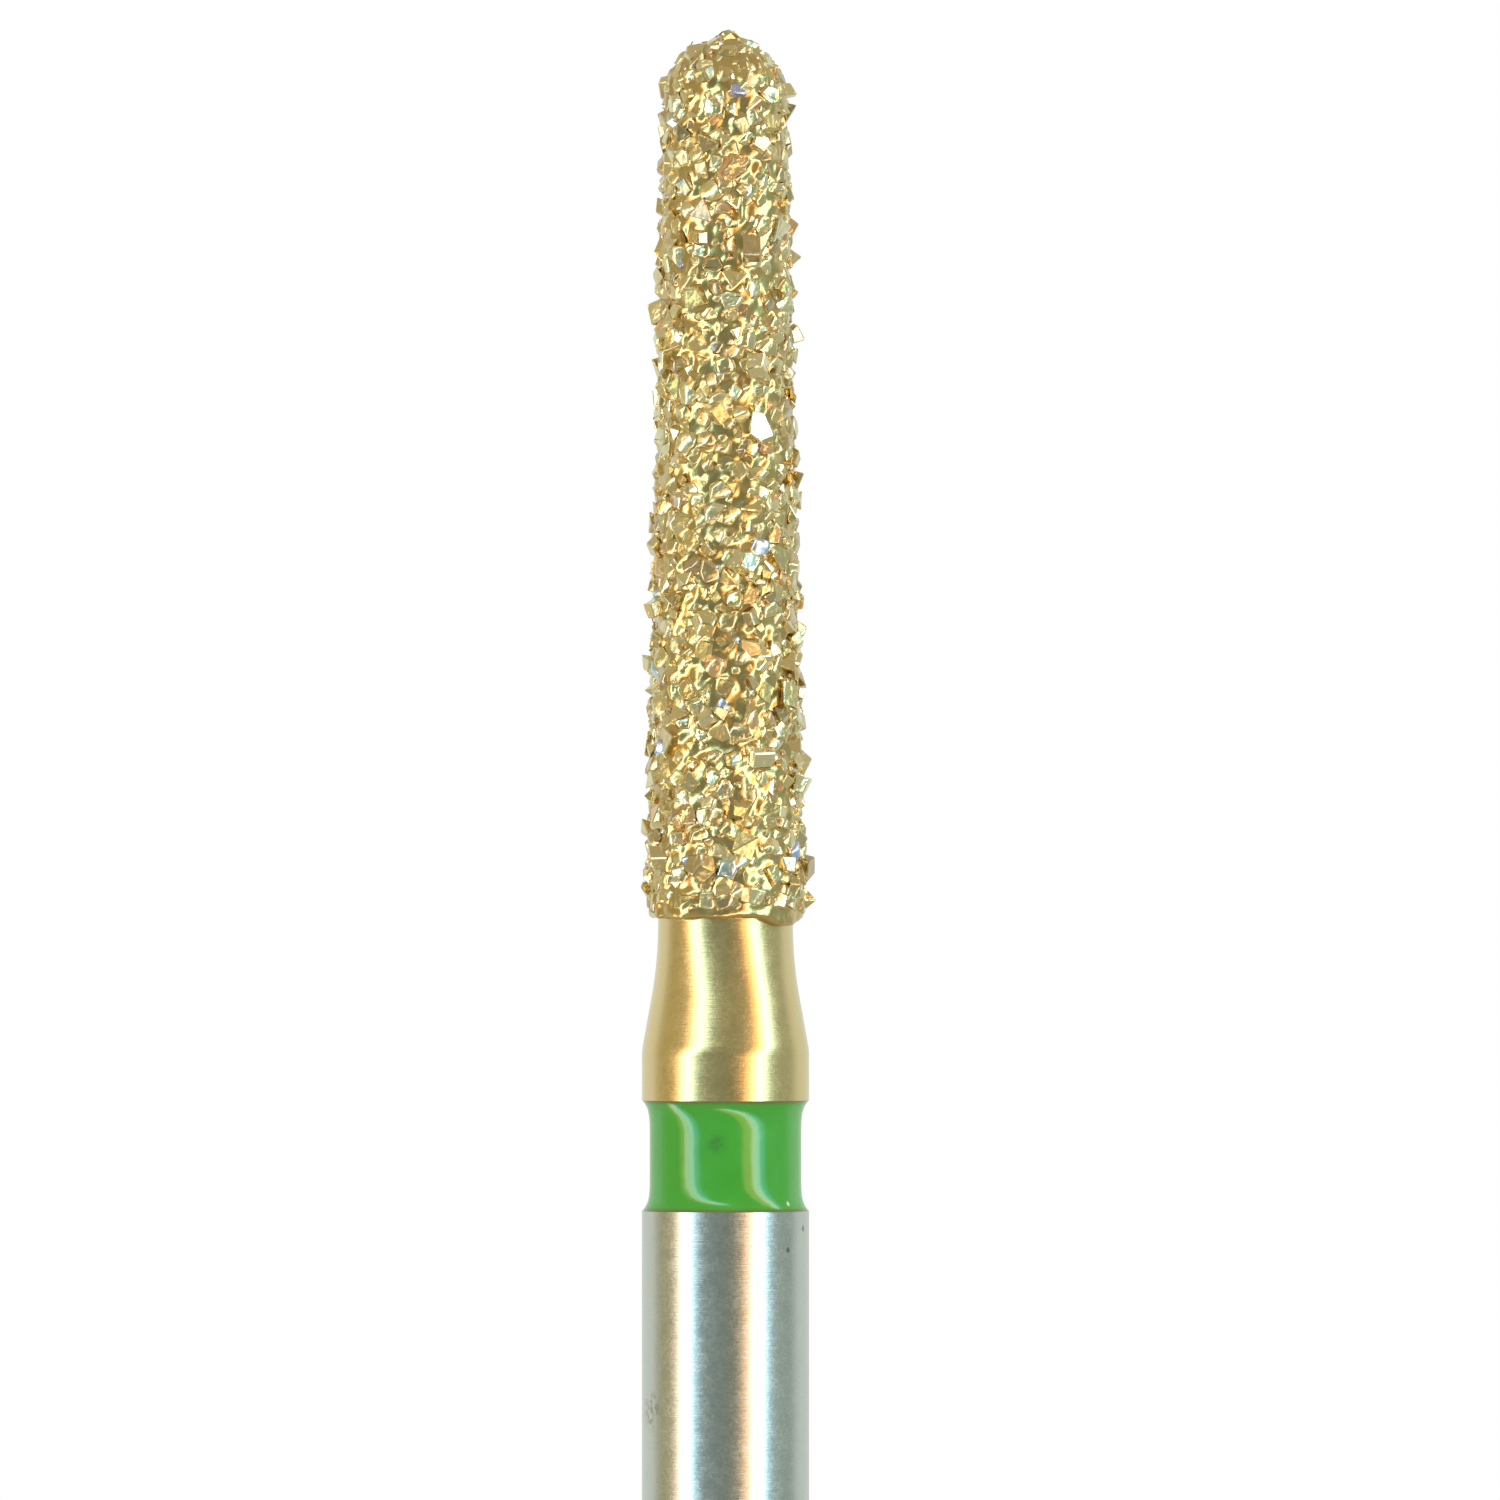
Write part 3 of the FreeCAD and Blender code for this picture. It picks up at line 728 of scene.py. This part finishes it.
def make_strip(name, azimuth, tilt, warm, white, cool):
    """A long leaning strip light, warm along its left flank and cool along its right one."""
    distance, tall = 0.3, 1.4
    bands = [
        ("warm", *warm, (1.0, 0.52, 0.2)),
        ("white", *white, (0.97, 0.99, 1.0)),
        ("cool", *cool, (0.22, 0.72, 1.0)),
    ]
    for band, aside, spread, radiance, tint in bands:
        width = 2 * distance * math.tan(math.radians(spread / 2))
        make_lamp(f"{name}_{band}", azimuth + aside, width, tall, distance, tilt, radiance, tint)


def make_world():
    """White to the camera; to the pieces a bright wall behind, a grey room beside and a dim one in front."""
    world = bpy.data.worlds.new("studio")
    bpy.context.scene.world = world
    paint = Paint(world)
    parts = paint.node("ShaderNodeSeparateXYZ", None, {0: paint.make("ShaderNodeTexCoord", out="Generated")})
    east, north, up = (paint.out(parts, axis) for axis in "XYZ")
    turn = paint.make("ShaderNodeMath", {"operation": "ARCTAN2"}, {0: east, 1: north * -1.0})
    walls = [
        (-180, (0.81, 0.86, 0.78)),
        (-118, (0.81, 0.86, 0.78)),
        (-110, (0.60, 0.60, 0.46)),
        (-98, (0.50, 0.47, 0.28)),
        (-80, (0.50, 0.46, 0.27)),
        (-30, (0.30, 0.36, 0.33)),
        (-5, (0.26, 0.31, 0.27)),
        (10, (0.28, 0.31, 0.24)),
        (30, (0.34, 0.34, 0.27)),
        (65, (0.40, 0.49, 0.43)),
        (102, (0.40, 0.48, 0.42)),
        (112, (0.62, 0.70, 0.64)),
        (120, (0.76, 0.83, 0.76)),
        (180, (0.76, 0.83, 0.76)),
    ]
    room = paint.ramp(turn / (2 * math.pi) + 0.5, [(azimuth / 360 + 0.5, tone) for azimuth, tone in walls])
    steep = paint.tone(paint.make("ShaderNodeMath", {"operation": "ABSOLUTE"}, {0: up}), 0.25, 0.65, 0, 1)
    lit = paint.mix(steep, room, colour(0.52, 0.49, 0.35))
    shown = paint.mix(paint.make("ShaderNodeLightPath", out="Is Camera Ray"), lit, colour(1, 1, 1))
    background = paint.make("ShaderNodeBackground", None, {"Color": shown, "Strength": 1.0})
    paint.node("ShaderNodeOutputWorld", None, {"Surface": background})


def make_floor():
    bpy.ops.object.select_all(action="DESELECT")
    bpy.ops.mesh.primitive_circle_add(vertices=96, radius=0.12, fill_type="NGON")
    floor = bpy.context.object
    floor.name = "floor"
    paint = Paint(bpy.data.materials.new("pale_floor"))
    floor.data.materials.append(paint.surface(Base_Color=colour(0.9, 0.9, 0.9), Roughness=0.9))
    floor.visible_glossy = False


def make_camera():
    """A long lens level with the head, framed as the photograph is."""
    data = bpy.data.cameras.new("camera")
    data.lens = 600
    data.sensor_width = 36
    camera = bpy.data.objects.new("camera", data)
    bpy.context.scene.collection.objects.link(camera)
    bpy.context.scene.camera = camera
    width = PHOTO_SIZE / PHOTO_SCALE * MM
    across = (PHOTO_SIZE / 2 - SPINDLE_PIXEL) / PHOTO_SCALE * MM
    up = RING_FOOT * MM + (RING_FOOT_PIXEL - PHOTO_SIZE / 2) / PHOTO_SCALE * MM
    camera.location = (across, -width * data.lens / data.sensor_width, up)
    camera.rotation_euler = (math.radians(90), 0, 0)
    data.clip_start, data.clip_end = 0.01, 5


make_camera()
make_world()
make_floor()
make_strip("left_strip", -55.7, math.radians(-40), (-8.5, 11, 1.2), (0.0, 12, 2.6), (8.4, 12, 1.7))
make_strip("right_strip", 47, math.radians(-40), (-9.5, 15, 1.9), (1.5, 10, 2.8), (9.0, 12, 1.7))

steel, lacquer, bond, grain = steel_finish(), lacquer_finish(), bond_finish(), grain_finish()

blank = make_blank()
bpy.ops.object.shade_smooth_by_angle(angle=math.radians(30))
ring = make_lacquer()
bpy.ops.object.shade_smooth_by_angle(angle=math.radians(40))
coat = make_coat()
bpy.ops.object.shade_smooth()
crystals = make_crystals()
mid_shapes = grain_box("mid_shapes", [11, 12, 13, 14, 15, 16], 5, grain)
small_shapes = grain_box("small_shapes", [21, 22, 23, 24], 4, grain)
off = {"keep_off": crystals, "clearance": 0.01}
mid = sprinkle(coat, "mid_grains", mid_shapes, spacing=0.145, sizes=(0.15, 0.27), lean=0.4, seed=3, **off)
small = sprinkle(coat, "small_grains", small_shapes, spacing=0.12, sizes=(0.08, 0.12), lean=0.5, seed=5, **off)
plate_up(coat, crystals, rise=0.018, reach=0.06)
apply_modifier(coat, "SMOOTH", factor=0.5, iterations=3)
for piece in (mid, small, crystals, coat, blank, ring):
    print(piece.name, sum(len(face.vertices) - 2 for face in piece.data.polygons), "triangles")

dress(blank, steel, "steel", "steel_blank")
dress(ring, lacquer, "green_lacquer", "colour_ring")
dress(coat, bond, "gold_bond", "bond_coat")
dress(crystals, grain, "diamond", "diamond_grit")
dress(mid, grain, "diamond")
dress(small, grain, "diamond")
for shapes in (mid_shapes, small_shapes):
    for shape in list(shapes.objects):
        bpy.data.objects.remove(shape)

bpy.context.scene.view_settings.view_transform = "Standard"
